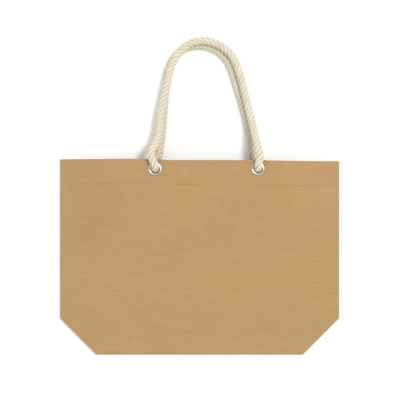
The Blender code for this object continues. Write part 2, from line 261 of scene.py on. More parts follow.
def weave_group():
    """Colour, roughness and height of a plain weave with slubs, and painted shade between the
    threads.
    """
    group, start, end = new_group(
        "plain_weave",
        [
            ("Vector", "Vector", None),
            ("Pitch", "Float", YARN_PITCH),
            ("Slub", "Float", 1.0),
            ("Yarn", "Color", (0.5, 0.3, 0.15, 1.0)),
            ("Shade", "Color", (0.4, 0.22, 0.09, 1.0)),
            ("Pale", "Color", (0.6, 0.4, 0.2, 1.0)),
        ],
        SURFACE,
    )
    vector = start.outputs["Vector"]
    split = group.nodes.new("ShaderNodeSeparateXYZ")
    group.links.new(vector, split.inputs[0])
    waves = []
    cells = []
    for axis in ("X", "Y"):
        place = calculate(group, "DIVIDE", split.outputs[axis], start.outputs["Pitch"])
        wave = calculate(group, "SINE", calculate(group, "MULTIPLY", place, math.pi))
        waves.append(calculate(group, "ABSOLUTE", wave))
        cells.append(calculate(group, "FLOOR", place))
    parity = calculate(group, "ADD", cells[0], cells[1])
    parity = calculate(group, "PINGPONG", parity, 1.0)
    over = calculate(group, "MULTIPLY", waves[0], parity)
    under = calculate(group, "MULTIPLY", waves[1], calculate(group, "SUBTRACT", 1.0, parity))
    threads = calculate(group, "ADD", over, under)

    across = scaled_noise(group, vector, SLUB_SCALE, 3.0)
    upright = scaled_noise(group, vector, UPRIGHT_SCALE)
    patches = scaled_noise(group, vector, PATCH_SCALE, 3.0)
    thick = ranged(group, across, 0.56, 0.78)
    thin = ranged(group, across, 0.44, 0.26)
    slub = calculate(group, "MULTIPLY", thick, start.outputs["Slub"])
    lack = calculate(group, "MULTIPLY", thin, start.outputs["Slub"])

    colour = start.outputs["Yarn"]
    for share, tone in (
        (ranged(group, patches, 0.3, 0.7, 0.0, 0.30), "Shade"),
        (calculate(group, "MULTIPLY", slub, 0.75), "Pale"),
        (calculate(group, "MULTIPLY", lack, 0.45), "Shade"),
        (ranged(group, upright, 0.5, 0.75, 0.0, 0.25), "Pale"),
        # Painted shade: the gaps between the threads get the darker Shade tone.
        (ranged(group, threads, 0.0, 0.55, 0.35, 0.0), "Shade"),
    ):
        colour = mixed_colour(group, share, colour, start.outputs[tone])
    group.links.new(colour, end.inputs["Color"])

    rough = ranged(group, across, 0.3, 0.7, 0.92, 0.78)
    group.links.new(rough, end.inputs["Roughness"])
    height = calculate(group, "MULTIPLY_ADD", slub, 0.9, threads)
    height = calculate(group, "SUBTRACT", height, calculate(group, "MULTIPLY", lack, 0.5))
    group.links.new(height, end.inputs["Height"])
    return group


WEAVE = weave_group()


# %% Materials from a group
def principled(name):
    """A new material, its node tree and its Principled shader."""
    material = bpy.data.materials.new(name)
    material.use_nodes = True
    return material, material.node_tree, material.node_tree.nodes["Principled BSDF"]


def add_bump(tree, shader, height, strength, distance):
    """Feed a height through a Bump node to a shader's normal."""
    bump = tree.nodes.new("ShaderNodeBump")
    set_inputs(bump, {"Strength": strength, "Distance": distance})
    tree.links.new(height, bump.inputs["Height"])
    join(tree, bump, "Normal", shader)


def add_group(tree, shader, group, vector, values):
    """A pattern group in a material, joined to the shader's colour and any roughness."""
    node = tree.nodes.new("ShaderNodeGroup")
    node.node_tree = group
    set_inputs(node, values)
    tree.links.new(vector, node.inputs["Vector"])
    join(tree, node, "Color", shader, "Base Color")
    if "Roughness" in node.outputs:
        join(tree, node, "Roughness", shader)
    return node


def uv_vector(tree):
    """The place on a piece from its UV map."""
    place = tree.nodes.new("ShaderNodeUVMap")
    place.uv_map = "UVMap"
    return place.outputs["UV"]


def cloth_material(name, yarn, shade, pale, slub=1.0):
    """Woven cloth in three tones of one colour."""
    material, tree, shader = principled(name)
    tones = {"Yarn": (*yarn, 1.0), "Shade": (*shade, 1.0), "Pale": (*pale, 1.0)}
    weave = add_group(tree, shader, WEAVE, uv_vector(tree), {"Slub": slub, **tones})
    set_inputs(shader, {"Sheen Weight": 0.15, "Sheen Roughness": 0.5, "Specular IOR Level": 0.25})
    add_bump(tree, shader, weave.outputs["Height"], 0.55, 0.00025)
    return material


TAN = (0.430, 0.266, 0.117)
TAN_SHADE = (0.352, 0.206, 0.082)
TAN_PALE = (0.500, 0.330, 0.166)
OUTER_CLOTH = cloth_material("tan_cloth", TAN, TAN_SHADE, TAN_PALE)
# The inside is the same cloth in its darker shade tones: painted shade for the inside of the bag.
SHADED_INNER_CLOTH = cloth_material("tan_cloth_inside_shaded", TAN_SHADE, TAN_SHADE, TAN, slub=0.6)

# %% [markdown]
# ## Floor and light
# A large pale floor, a big soft light from the upper right for the shape, and
# an even white sky that fills the shadows. The colours are shown without a
# film curve, which keeps the lit floor white.


# %% Floor, sky and lights
FLOOR_REACH = 4.0
FLOOR_Z = -0.0004
BAG_MIDDLE = Vector((0.0, 0.1, 0.0))


def white_floor():
    """A large pale plane just under the bag."""
    corners = [(-1, -1), (1, -1), (1, 1), (-1, 1)]
    material, _, shader = principled("white_paper")
    paper = {"Base Color": (0.92, 0.92, 0.91, 1.0), "Roughness": 0.9, "Specular IOR Level": 0.1}
    set_inputs(shader, paper)
    points = [(x * FLOOR_REACH, y * FLOOR_REACH, FLOOR_Z) for x, y in corners]
    floor = mesh_object("floor", points, [(0, 1, 2, 3)], material)


def area_light(name, place, size, power):
    """A square soft light that faces the middle of the bag."""
    data = bpy.data.lights.new(name, "AREA")
    data.shape = "SQUARE"
    data.size = size
    data.energy = power
    light = add_object(name, data)
    light.location = place
    light.rotation_euler = (BAG_MIDDLE - Vector(place)).to_track_quat("-Z", "Y").to_euler()


bpy.context.scene.view_settings.view_transform = "Standard"
white_floor()
area_light("key", (1.7, 1.3, 4.6), 1.0, 138.0)
area_light("soft_left", (-1.6, -0.2, 2.0), 1.8, 8.0)
world = bpy.data.worlds.new("sky")
world.use_nodes = True
sky = world.node_tree.nodes["Background"]
set_inputs(sky, {"Color": (1.0, 1.0, 1.0, 1.0), "Strength": 0.77})
bpy.context.scene.world = world

# %% [markdown]
# ## Rope
# The handles are four-strand cotton rope. A rope is made the way it is laid:
# each strand is a tube that winds round the rope's own line, and the round
# of the strands gives the grooves their shade, which the material darkens further
# with painted shade. The fine yarns in a strand wind the other way, which makes
# them run nearly straight along the rope.


# %% Cotton material
def cotton_group():
    """Colour and height of soft twisted yarn, from a place along and round a strand; shade is
    painted into the grooves, and darker streaks where the yarns lie low.
    """
    group, start, end = new_group(
        "cotton_yarn",
        [
            ("Vector", "Vector", None),
            ("Groove", "Float", 0.0),
            ("Yarn", "Color", (0.8, 0.72, 0.58, 1.0)),
            ("Shade_And_Streak", "Color", (0.5, 0.4, 0.28, 1.0)),
        ],
        [("Color", "Color"), ("Height", "Float")],
    )
    fibres = scaled_noise(group, start.outputs["Vector"], (90.0, 1500.0, 1.0), 3.0, 0.5)
    yarns = scaled_noise(group, start.outputs["Vector"], (40.0, 700.0, 1.0), 1.0, 0.5)
    # Painted shade: the further into a groove a point lies, the more of the darker colour it gets.
    groove_shade = ranged(group, start.outputs["Groove"], 0.30, 0.95)
    colour = mixed_colour(group, groove_shade, start.outputs["Yarn"], start.outputs["Shade_And_Streak"])
    # Darker streaks in the same colour where the yarns lie low.
    streak = ranged(group, yarns, 0.42, 0.66, 0.28, 0.0)
    colour = mixed_colour(group, streak, colour, start.outputs["Shade_And_Streak"])
    group.links.new(colour, end.inputs["Color"])
    height = calculate(group, "MULTIPLY_ADD", yarns, 1.6, fibres)
    group.links.new(height, end.inputs["Height"])
    return group


COTTON = cotton_group()


def cotton_material(name, yarn, groove_shade):
    """Soft matt cotton with shade painted into its grooves."""
    material, tree, shader = principled(name)
    tones = {"Yarn": (*yarn, 1.0), "Shade_And_Streak": (*groove_shade, 1.0)}
    cotton = add_group(tree, shader, COTTON, uv_vector(tree), tones)
    groove = tree.nodes.new("ShaderNodeAttribute")
    groove.attribute_name = "groove"
    join(tree, groove, "Fac", cotton, "Groove")
    set_inputs(shader, {"Roughness": 0.88, "Sheen Weight": 0.25, "Specular IOR Level": 0.2})
    add_bump(tree, shader, cotton.outputs["Height"], 0.5, 0.0003)
    return material


# The second colour is painted shade for the grooves, and also the tone of the darker yarn streaks.
ROPE = cotton_material("cotton_rope", (0.730, 0.675, 0.535), (0.330, 0.262, 0.165))

# %% Lines for the ropes to follow
ROPE_DIAMETER = 0.014
ROPE_STEP = 0.0011
FRONT_ROPE_Z = 0.0577
BACK_ROPE_Z = 0.0071
ELBOW = 0.0076
COLUMN = 0.007


def smooth_route(route, steps=12):
    """A smooth line through every point of a route."""
    points = np.array(route, float)
    padded = np.vstack([points[:1], points, points[-1:]])
    slopes = (padded[2:] - padded[:-2]) / 2
    share = np.arange(steps)[:, None] / steps
    line = []
    for start, end, leave, arrive in zip(points[:-1], points[1:], slopes[:-1], slopes[1:]):
        cube, square = share**3, share**2
        line.append(
            (2 * cube - 3 * square + 1) * start
            + (cube - 2 * square + share) * leave
            + (3 * square - 2 * cube) * end
            + (cube - square) * arrive
        )
    return np.vstack([*line, points[-1:]])


def evenly_spaced(line, step):
    """The line again, with points a fixed step apart."""
    places = places_along(line)
    wanted = np.linspace(0.0, places[-1], max(int(round(places[-1] / step)), 2) + 1)
    return np.stack([np.interp(wanted, places, line[:, axis]) for axis in range(3)], 1)


def eased(line, passes):
    """The line with its kinks rounded off, ends kept."""
    line = line.copy()
    for _ in range(passes):
        line[1:-1] = (line[:-2] + 2 * line[1:-1] + line[2:]) / 4
    return line


def line_length(line):
    """Length along a line of points."""
    return float(places_along(line)[-1])


def with_elbows(route, into):
    """The route with a column at each end that goes down or up into an eyelet."""
    ends = []
    for point in (route[0], route[-1]):
        turn = np.linspace(0.0, math.pi / 2, 9)[:-1]
        arc = [
            (point[0], point[1] - ELBOW * math.cos(a), point[2] + into * ELBOW * (1 - math.sin(a)))
            for a in turn
        ]
        column = [
            (point[0], point[1] - ELBOW, point[2] + into * (ELBOW + depth))
            for depth in (COLUMN, COLUMN / 2)
        ]
        ends.append(np.array(column + arc))
    line = np.vstack([ends[0], smooth_route(route), ends[1][::-1]])
    return eased(evenly_spaced(line, ROPE_STEP), 14)


FRONT_ROUTE = [
    (-0.0790, 0.1646, FRONT_ROPE_Z), (-0.0846, 0.1755, FRONT_ROPE_Z), (-0.0856, 0.1865, 0.0560),
    (-0.0808, 0.1965, 0.0510), (-0.0745, 0.2075, 0.0440), (-0.0712, 0.2195, 0.0365),
    (-0.0708, 0.2325, 0.0295), (-0.0706, 0.2465, 0.0245), (-0.0688, 0.2610, 0.0220),
    (-0.0655, 0.2760, 0.0215), (-0.0622, 0.2905, 0.0215), (-0.0588, 0.3055, 0.0215),
    (-0.0560, 0.3200, 0.0215), (-0.0526, 0.3345, 0.0215), (-0.0468, 0.3495, 0.0215),
    (-0.0375, 0.3640, 0.0215), (-0.0250, 0.3765, 0.0215), (-0.0100, 0.3842, 0.0215),
    (0.0070, 0.3865, 0.0215), (0.0235, 0.3832, 0.0215), (0.0385, 0.3765, 0.0215),
    (0.0508, 0.3675, 0.0215), (0.0602, 0.3550, 0.0215), (0.0678, 0.3385, 0.0215),
    (0.0740, 0.3190, 0.0215), (0.0790, 0.2990, 0.0215), (0.0840, 0.2780, 0.0215),
    (0.0885, 0.2590, 0.0225), (0.0925, 0.2420, 0.0265), (0.0962, 0.2260, 0.0330),
    (0.1000, 0.2080, 0.0440), (0.1036, 0.1920, 0.0545), (0.1068, 0.1775, FRONT_ROPE_Z),
    (0.1030, 0.1646, FRONT_ROPE_Z),
]
BACK_ROUTE = [
    (x, y, BACK_ROPE_Z)
    for x, y in (
        (-0.0790, 0.1646), (-0.0758, 0.1740), (-0.0722, 0.1855), (-0.0700, 0.1990),
        (-0.0686, 0.2120), (-0.0670, 0.2250), (-0.0656, 0.2385), (-0.0645, 0.2520),
        (-0.0636, 0.2665), (-0.0625, 0.2810), (-0.0612, 0.2955), (-0.0598, 0.3100),
        (-0.0576, 0.3245), (-0.0542, 0.3385), (-0.0484, 0.3525), (-0.0385, 0.3648),
        (-0.0255, 0.3740), (-0.0105, 0.3788), (0.0045, 0.3792), (0.0180, 0.3765),
        (0.0298, 0.3712), (0.0400, 0.3640), (0.0486, 0.3545), (0.0548, 0.3435),
        (0.0595, 0.3320), (0.0638, 0.3190), (0.0680, 0.3050), (0.0725, 0.2900),
        (0.0768, 0.2760), (0.0806, 0.2620), (0.0842, 0.2480), (0.0870, 0.2340),
        (0.0895, 0.2190), (0.0918, 0.2050), (0.0945, 0.1905), (0.0985, 0.1760),
        (0.1030, 0.1646),
    )
]

# %% Strands that wind round a line
STRANDS = 4
PITCH = 0.036
SIDES = 28
# A strand's middle and size as shares of the rope's radius, together 1
STRAND_OUT, STRAND_SIZE = 0.545, 0.455
# How far a strand's points crowd towards the outside of the rope
CROWDING = 0.55
# Yarns in a strand: their number, their twist in metres a radian, and their relief
YARNS, YARN_TWIST, YARN_BASE, YARN_RELIEF = 7, 0.0052, 0.975, 0.045
# UV sizes, and the shift between strands that keeps them from looking alike
UV_ALONG, UV_AROUND, UV_SHIFT = 1.2, 0.0032, 0.37
GROOVE_DEPTH = 0.30
NARROW_RADIUS = 0.0066
THIN_LENGTH, WIDEN_LENGTH = 0.006, 0.008


def turning_frames(line):
    """Tangents and a sideways direction that turns no more than it must."""
    tangents = normalised(np.gradient(line, axis=0))
    side = np.cross(tangents[0], (0.31, 0.12, 0.94))
    if np.linalg.norm(side) < 0.2:
        side = np.cross(tangents[0], (0.9, 0.3, 0.1))
    sides = []
    for tangent in tangents:
        side = normalised(side - tangent * np.dot(side, tangent))
        sides.append(side)
    return tangents, np.array(sides)


def laid_rope(name, line, radii, phase=0.0):
    """Four strands round a line, as one mesh. radii is the rope's radius at each point."""
    tangents, sides = turning_frames(line)
    ups = np.cross(tangents, sides)
    along = places_along(line)
    rows = len(line)
    around = np.linspace(0.0, 2 * math.pi, SIDES, endpoint=False)
    around = around - CROWDING * np.sin(around)
    points, faces, uv, groove = [], [], [], []
    for strand in range(STRANDS):
        angle = phase + 2 * math.pi * (along / PITCH + strand / STRANDS)
        outward = np.cos(angle)[:, None] * sides + np.sin(angle)[:, None] * ups
        centre = line + outward * (radii * STRAND_OUT)[:, None]
        forward = normalised(np.gradient(centre, axis=0))
        outward = normalised(outward - forward * np.sum(outward * forward, axis=1)[:, None])
        beside = np.cross(forward, outward)
        yarns = YARNS * around[None, :] - (along / YARN_TWIST)[:, None]
        relief = YARN_BASE + YARN_RELIEF * np.abs(np.cos(yarns / 2))
        size = (radii * STRAND_SIZE)[:, None] * relief
        ring = (
            centre[:, None]
            + (size * np.cos(around))[..., None] * outward[:, None]
            + (size * np.sin(around))[..., None] * beside[:, None]
        )
        offset = sum(len(p) for p in points)
        points.append(ring.reshape(-1, 3))
        faces.extend(map(tuple, grid_faces(rows, SIDES, offset, closed=True)[:, ::-1]))
        faces.append(tuple(range(offset, offset + SIDES)))
        last = offset + (rows - 1) * SIDES
        faces.append(tuple(reversed(range(last, last + SIDES))))
        shift = strand * UV_SHIFT
        place_u = np.repeat(along[:, None] * UV_ALONG + shift, SIDES, axis=1)
        place_v = np.repeat((around * UV_AROUND)[None, :] + shift, rows, axis=0)
        uv.append(np.stack([place_u, place_v], -1).reshape(-1, 2))
        depth = 1.0 - np.linalg.norm(ring - line[:, None], axis=2) / radii[:, None]
        groove.append(np.clip(depth / GROOVE_DEPTH, 0.0, 1.0).ravel())
    return mesh_object(
        name, np.vstack(points), faces, ROPE, np.vstack(uv), {"groove": np.concatenate(groove)}
    )


def rope_radii(line):
    """The rope's radius along a line: thinner where it passes through an eyelet."""
    near_end = np.minimum(np.arange(len(line)), np.arange(len(line))[::-1]) * ROPE_STEP
    widening = smooth_step((near_end - THIN_LENGTH) / WIDEN_LENGTH)
    return NARROW_RADIUS + (ROPE_DIAMETER / 2 - NARROW_RADIUS) * widening


for name, route, into, phase in (("front", FRONT_ROUTE, -1, 0.4), ("back", BACK_ROUTE, 1, 1.1)):
    body = name + "_handle"
    line = with_elbows(route, into)
    rope = laid_rope(name + "_rope", line, rope_radii(line), phase)
    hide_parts(body + "_rope")
    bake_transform(rope)
    print(rope.name, round(line_length(line), 4), "m", len(rope.data.polygons), "faces")

# %% [markdown]
# ## The shape of the empty bag
# The two big panels lie on each other. Between them are the folded base and
# the rope knots, so the front rises in a low pillow and both panels lift near
# the eyelets. The heights below follow the frame's panels, with soft waves and
# small puckers added, because cotton canvas never lies quite flat.

# %% Heights of the panels
FRONT_FLAT, FRONT_FALL, FRONT_RISE_START = 0.041, 0.125, -0.040
BACK_FLAT, BACK_FALL, BACK_RISE_START = 0.024, 0.080, 0.030
RISE_END = 0.135
BELLY, BELLY_RISE = 0.018, 0.120
SAG_START = 0.05
FRONT_SAG, BACK_SAG = 1.0, 0.7
SHEET = 0.0008
HOLE = 0.0095


def half_width_at(y):
    """Half the panel's width: the lower corners are cut off at 45 degrees."""
    return HALF_WIDTH - np.maximum(FOLD_TOP - y, 0.0)


def near_eyelets(x, flat, fall):
    """1 at the eyelets, falling to 0 at the middle and the sides."""
    away = 1.0
    for eyelet_x in EYELET_X.values():
        away = away * (1.0 - smooth_step(1.0 - (np.abs(x - eyelet_x) - flat) / fall))
    return 1.0 - away


def near_mouth(y, start):
    """0 low on the panel and 1 at the mouth."""
    return smooth_step((y - start) / (RISE_END - start))


def back_outside(x, y):
    """Height of the back panel's outer face."""
    return BACK_LIFT * near_eyelets(x, BACK_FLAT, BACK_FALL) * near_mouth(y, BACK_RISE_START)


def front_outside(x, y):
    """Height of the front panel's outer face."""
    rise = smooth_step((y - BOTTOM) / BELLY_RISE)
    across = 1.0 - (np.minimum(np.abs(x) / half_width_at(y), 1.0)) ** 3
    belly = FRONT_EDGE + BELLY * rise * across
    lifted = near_eyelets(x, FRONT_FLAT, FRONT_FALL) * near_mouth(y, FRONT_RISE_START)
    return belly + (FRONT_LIFT - CLOTH - belly) * lifted + CLOTH


def soft_waves(x, y, seed):
    """Gentle unevenness of cloth that was folded and opened again, from -1 to 1."""
    flat = [noise.noise(Vector((a * 9.0, b * 14.0, seed))) for a, b in zip(x.flat, y.flat)]
    fine = [noise.noise(Vector((a * 26.0, b * 31.0, seed + 5.0))) for a, b in zip(x.flat, y.flat)]
    return (0.75 * np.array(flat) + 0.35 * np.array(fine)).reshape(x.shape)


def far_from_eyelets(x, y, near, far):
    """0 round the eyelets, rising to 1 further out."""
    share = np.ones_like(x)
    for eyelet_x in EYELET_X.values():
        away = np.hypot(x - eyelet_x, y - EYELET_Y)
        share = share * smooth_step((away - near) / (far - near))
    return share


def hem_groove(y):
    """The sunk stitch line at the hem's lower edge, and the step up above it."""
    groove = np.exp(-(((y - HEM_BOTTOM) / 0.0013) ** 2))
    step = smooth_step((y - HEM_BOTTOM) / 0.003)
    return 0.00018 * step - 0.00030 * groove


def mouth_sag(x):
    """How far the mouth's edge hangs below its full height, lower to the right."""
    return 0.0022 * smooth_step((x + 0.095) / 0.04) + 0.0024 * smooth_step((x - 0.02) / 0.22)


def sag_at(x, y):
    """How far the cloth hangs below its flat place, most at the mouth."""
    return mouth_sag(x) * smooth_step((y - SAG_START) / (TOP - SAG_START))


def held_sag(x, y):
    """The same with the eyelets holding the cloth up."""
    return sag_at(x, y) * (far_from_eyelets(x, y, 0.014, 0.030) * 0.4 + 0.6)


def clear_of_holes(points, faces):
    """Which faces lie outside the eyelets' holes."""
    middles = points[faces].mean(axis=1)
    keep = np.ones(len(faces), bool)
    for eyelet_x in EYELET_X.values():
        keep &= np.hypot(middles[:, 0] - eyelet_x, middles[:, 1] - EYELET_Y) > HOLE
    return keep


def thickened(piece, offset, inner_material=0):
    """The piece with its cloth's thickness: outwards at 1, inwards at -1, both at 0."""
    thicken = piece.modifiers.new("thickness", "SOLIDIFY")
    thicken.thickness = SHEET
    thicken.offset = offset
    thicken.material_offset = inner_material
    return flattened(piece)


# %% [markdown]
# ## A panel
# One function makes both panels. The grid runs past every edge and folds over
# a small round, so the bag has turned edges with thickness, not cut ones. A
# Solidify modifier gives the cloth its own thickness towards the inside.

# %% Panel builder
CURL = 0.00135
TURN_IN = 0.008
HALF_COLUMNS, LOWER_ROWS, HEM_ROWS, UPPER_ROWS = 92, 118, 17, 18
HEM_BAND = 0.004


def folded(beyond):
    """Where a point lies that is this far past the start of an edge's round: out, and down."""
    turn = np.clip(beyond / CURL, 0.0, math.pi)
    inward = np.maximum(beyond - math.pi * CURL, 0.0)
    out = np.where(beyond < 0.0, beyond, CURL * np.sin(turn) - inward)
    down = CURL * (1.0 - np.cos(turn))
    return out, down


def edge_steps(length, count, tail):
    """Even places up to an edge, close together round its fold, then the tail."""
    flat = np.linspace(0.0, length, count + 1)[1:]
    fold = length + np.linspace(0.0, math.pi * CURL, 9)[1:]
    ends = length + math.pi * CURL + np.linspace(0.0, tail, 4)[1:]
    return np.concatenate([flat, fold, ends])


def row_places():
    """Places along the panel from the bottom tail to the mouth, finer at the hem line."""
    low, high = BOTTOM + CURL, TOP - CURL
    below = low - edge_steps(0.0, 1, TURN_IN)[::-1]
    groove = HEM_BOTTOM + np.linspace(-HEM_BAND, HEM_BAND, HEM_ROWS)
    lower = np.linspace(low, groove[0], LOWER_ROWS)[1:-1]
    upper = np.linspace(groove[-1], high, UPPER_ROWS)[1:-1]
    above = high + edge_steps(0.0, 1, 0.0003)
    return np.concatenate([below, lower, groove, upper, above])


def make_panel(name, outside, side, waves, sag_share, seed):
    """A cloth panel. side is 1 where its outer face looks up and -1 where it looks down."""
    rows = row_places()
    half = edge_steps(1.0, HALF_COLUMNS, TURN_IN)
    unit = np.concatenate([-half[::-1], [0.0], half])
    grid_v, grid_u = np.meshgrid(rows, unit, indexing="ij")
    high, low = TOP - CURL, BOTTOM + CURL
    beyond_y = np.maximum(grid_v - high, low - grid_v)
    out_y, down_y = folded(beyond_y)
    y = np.where(grid_v > (low + high) / 2, high + out_y, low - out_y)
    reach = half_width_at(np.clip(y, BOTTOM, TOP)) - CURL
    size = np.abs(grid_u)
    beyond_x = np.where(size <= 1.0, -1.0, size - 1.0)
    out_x, down_x = folded(beyond_x)
    x = np.sign(grid_u) * np.where(size <= 1.0, size * reach, reach + out_x)
    down = np.maximum(down_x, down_y)
    lean = smooth_step(beyond_x / (0.5 * math.pi * CURL))
    edge = half_width_at(np.clip(y, BOTTOM, TOP))
    x_level = np.where(size <= 1.0, x, np.sign(grid_u) * (reach + (edge - reach) * lean))
    y_level = np.where(beyond_y > 0.0, np.where(grid_v > 0.0, TOP, BOTTOM), y)
    level = outside(x_level, y_level)
    seam_level = FRONT_EDGE + CLOTH if side > 0 else 0.0
    level = level + (seam_level - level) * smooth_step(beyond_x / (math.pi * CURL))
    calm = far_from_eyelets(x, y, 0.020, 0.045) * smooth_step((half_width_at(y) - np.abs(x)) / 0.03)
    calm = calm * smooth_step((TOP - y) / 0.02) * smooth_step((y - BOTTOM) / 0.02)
    wave = waves * soft_waves(x, y, seed) * calm
    groove = hem_groove(y) * far_from_eyelets(x, y, 0.018, 0.024) * (down < 0.5 * CURL)
    z = level + side * (wave + groove - down)
    if side < 0:
        z = np.maximum(z, 0.0)
    y = y - sag_share * held_sag(x, y)
    length_u = np.where(size <= 1.0, size * reach, reach + size - 1.0) * np.sign(grid_u)
    points = np.stack([x, y, z], -1).reshape(-1, 3)
    uv = np.stack([length_u, grid_v + seed], -1).reshape(-1, 2)
    faces = grid_faces(len(rows), len(unit))
    keep = clear_of_holes(points, faces)
    past = 0.6 * math.pi * CURL
    both = (beyond_x > past) & (beyond_y > past)
    both |= (beyond_x > 0.0) & (beyond_y > math.pi * CURL + 1e-6)
    both |= (beyond_y > 0.0) & (beyond_x > math.pi * CURL + 1e-6)
    keep &= ~both.ravel()[faces].any(axis=1)
    faces = faces[keep] if side > 0 else faces[keep][:, ::-1]
    used, faces = np.unique(faces, return_inverse=True)
    panel = mesh_object(name, points[used], faces.reshape(-1, 4), OUTER_CLOTH, uv[used])
    panel.data.materials.append(SHADED_INNER_CLOTH)
    return thickened(panel, -1.0, 1)


def mesh_area(piece):
    """Half the surface of a thin closed mesh, which is its area as a sheet."""
    return sum(face.area for face in piece.data.polygons) / 2


front_panel = make_panel("front_canvas", front_outside, 1, 0.0008, FRONT_SAG, 3.0)
back_panel = make_panel("back_canvas", back_outside, -1, 0.0004, BACK_SAG, 8.0)
for panel, node in ((front_panel, "front_panel"), (back_panel, "back_panel")):
    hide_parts(node)
    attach(panel, "bag")
    print(panel.name, len(panel.data.polygons), "faces", round(mesh_area(panel), 4), "m2")

# %% [markdown]
# ## Hem facings
# The mouth's hem is the panel's own cloth turned down inside. It starts where
# the fold at the mouth ends and lies against the panel as far as the stitches.


# %% Facings
FACING_REACH = 0.2405
FACING_SETTLE, FACING_DEPTH = 0.012, 0.00185


def make_facing(name, outside, side, sag_share, seed):
    """The turned part of the hem, a sheet just inside the panel."""
    across = np.linspace(-FACING_REACH, FACING_REACH, 150)
    places = np.linspace(TOP - CURL, HEM_BOTTOM + 0.0004, HEM_ROWS)
    y, x = np.meshgrid(places, across, indexing="ij")
    share = smooth_step((TOP - CURL - y) / FACING_SETTLE)
    depth = 2 * CURL - share * (2 * CURL - FACING_DEPTH)
    z = outside(x, y) - side * depth
    points = np.stack([x, y - sag_share * held_sag(x, y), z], -1).reshape(-1, 3)
    faces = grid_faces(len(places), len(across))
    faces = faces[clear_of_holes(points, faces)]
    faces = faces if side > 0 else faces[:, ::-1]
    uv = np.stack([x, y + seed], -1).reshape(-1, 2)
    facing = mesh_object(name, points, faces, SHADED_INNER_CLOTH, uv)
    return thickened(facing, 1.0)


front_facing = make_facing("front_turned_hem", front_outside, 1, FRONT_SAG, 4.0)
back_facing = make_facing("back_turned_hem", back_outside, -1, BACK_SAG, 9.0)
for facing, node in ((front_facing, "front_hem_facing"), (back_facing, "back_hem_facing")):
    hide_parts(node)
    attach(facing, "bag")
    print(facing.name, round(mesh_area(facing), 4), "m2")

# %% [markdown]
# ## Folded base and corners
# When the bag is flat its base is folded in half between the panels, with the
# fold towards the mouth. The two corner triangles are folded with it, and
# they are what makes the lower corners look cut off.


# %% Base and gussets
MIDDLE_Z = 0.00285
FOLD_RADIUS = 0.00055
FOLD_INSET = 0.0015
BASE_REACH = 0.180
GUSSET_START = 0.1857
GUSSET_REACH = HALF_BASE - 0.0136


def folded_cloth(name, low_y, low_x, high_x, columns):
    """Cloth folded in half. low_x and high_x are its sides, as x at the bottom and a slope."""
    fold_y = FOLD_TOP - FOLD_INSET
    flat = np.linspace(low_y, fold_y, 24)
    turn = np.linspace(0.0, math.pi, 9)[1:-1]
    level = np.full_like(flat, MIDDLE_Z)
    profile_y = np.concatenate([flat, fold_y + FOLD_RADIUS * np.sin(turn), flat[::-1]])
    curve = MIDDLE_Z + FOLD_RADIUS * np.cos(turn)
    profile_z = np.concatenate([level + FOLD_RADIUS, curve, level - FOLD_RADIUS])
    share = np.linspace(0.0, 1.0, columns)
    low, high = (at + slope * (profile_y - BOTTOM) for at, slope in (low_x, high_x))
    x = low[:, None] + (high - low)[:, None] * share
    y, z = (np.outer(profile, np.ones(columns)) for profile in (profile_y, profile_z))
    along = places_along(np.stack([profile_y, profile_z], -1))
    uv = np.stack([x, np.outer(along, np.ones(columns)) + 12.0], -1).reshape(-1, 2)
    faces = grid_faces(len(profile_y), columns)
    piece = mesh_object(name, np.stack([x, y, z], -1).reshape(-1, 3), faces, OUTER_CLOTH, uv)
    return thickened(piece, 0.0)


base = folded_cloth("base_canvas", -0.1653, (-BASE_REACH, 0), (BASE_REACH, 0), 90)
left_gusset, right_gusset = (
    folded_cloth(f"{name}_corner_canvas", -0.1600, low_x, high_x, 18)
    for name, low_x, high_x in (
        ("left", (-GUSSET_REACH, -1), (-GUSSET_START, 0)),
        ("right", (GUSSET_START, 0), (GUSSET_REACH, 1)),
    )
)
for piece, node, flat, area in (
    (base, "base_panel", (0.370, 0.130), None),
    (left_gusset, "left_corner_gusset", (0.051, 0.102), 0.0030),
    (right_gusset, "right_corner_gusset", (0.051, 0.102), 0.0030),
):
    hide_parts(node)
    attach(piece, "bag")
    print(piece.name, round(mesh_area(piece), 4), "m2")

# %% [markdown]
# ## Thread
# Stitches repeat, so Geometry Nodes lays them: a line is cut into even steps
# and one stitch is set on each point. A hem stitch is a small grain along the
# line. A seam inside the bag is overlocked, which is a row of thread loops
# round the cloth's raw edge. The result is made into a plain mesh at the end.


# %% Thread material
def thread_material(name, colour):
    """Matt polyester thread with the fine twist of its plies, with a painted highlight where its
    bump is high and painted shade where it is low.
    """
    material, tree, shader = principled(name)
    place = tree.nodes.new("ShaderNodeTexCoord")
    shine = scaled_noise(tree, place.outputs["Object"], (900.0, 900.0, 900.0), 2.0)
    # Painted highlight and shade: the colour follows the same noise as the bump.
    dark = (*[c * 0.72 for c in colour], 1.0)
    mixed = mixed_colour(tree, ranged(tree, shine, 0.35, 0.65), dark, (*colour, 1.0))
    tree.links.new(mixed, shader.inputs["Base Color"])
    set_inputs(shader, {"Roughness": 0.6, "Sheen Weight": 0.1})
    add_bump(tree, shader, shine, 0.4, 0.0001)
    return material


THREAD = thread_material("tan_thread", (0.520, 0.345, 0.165))


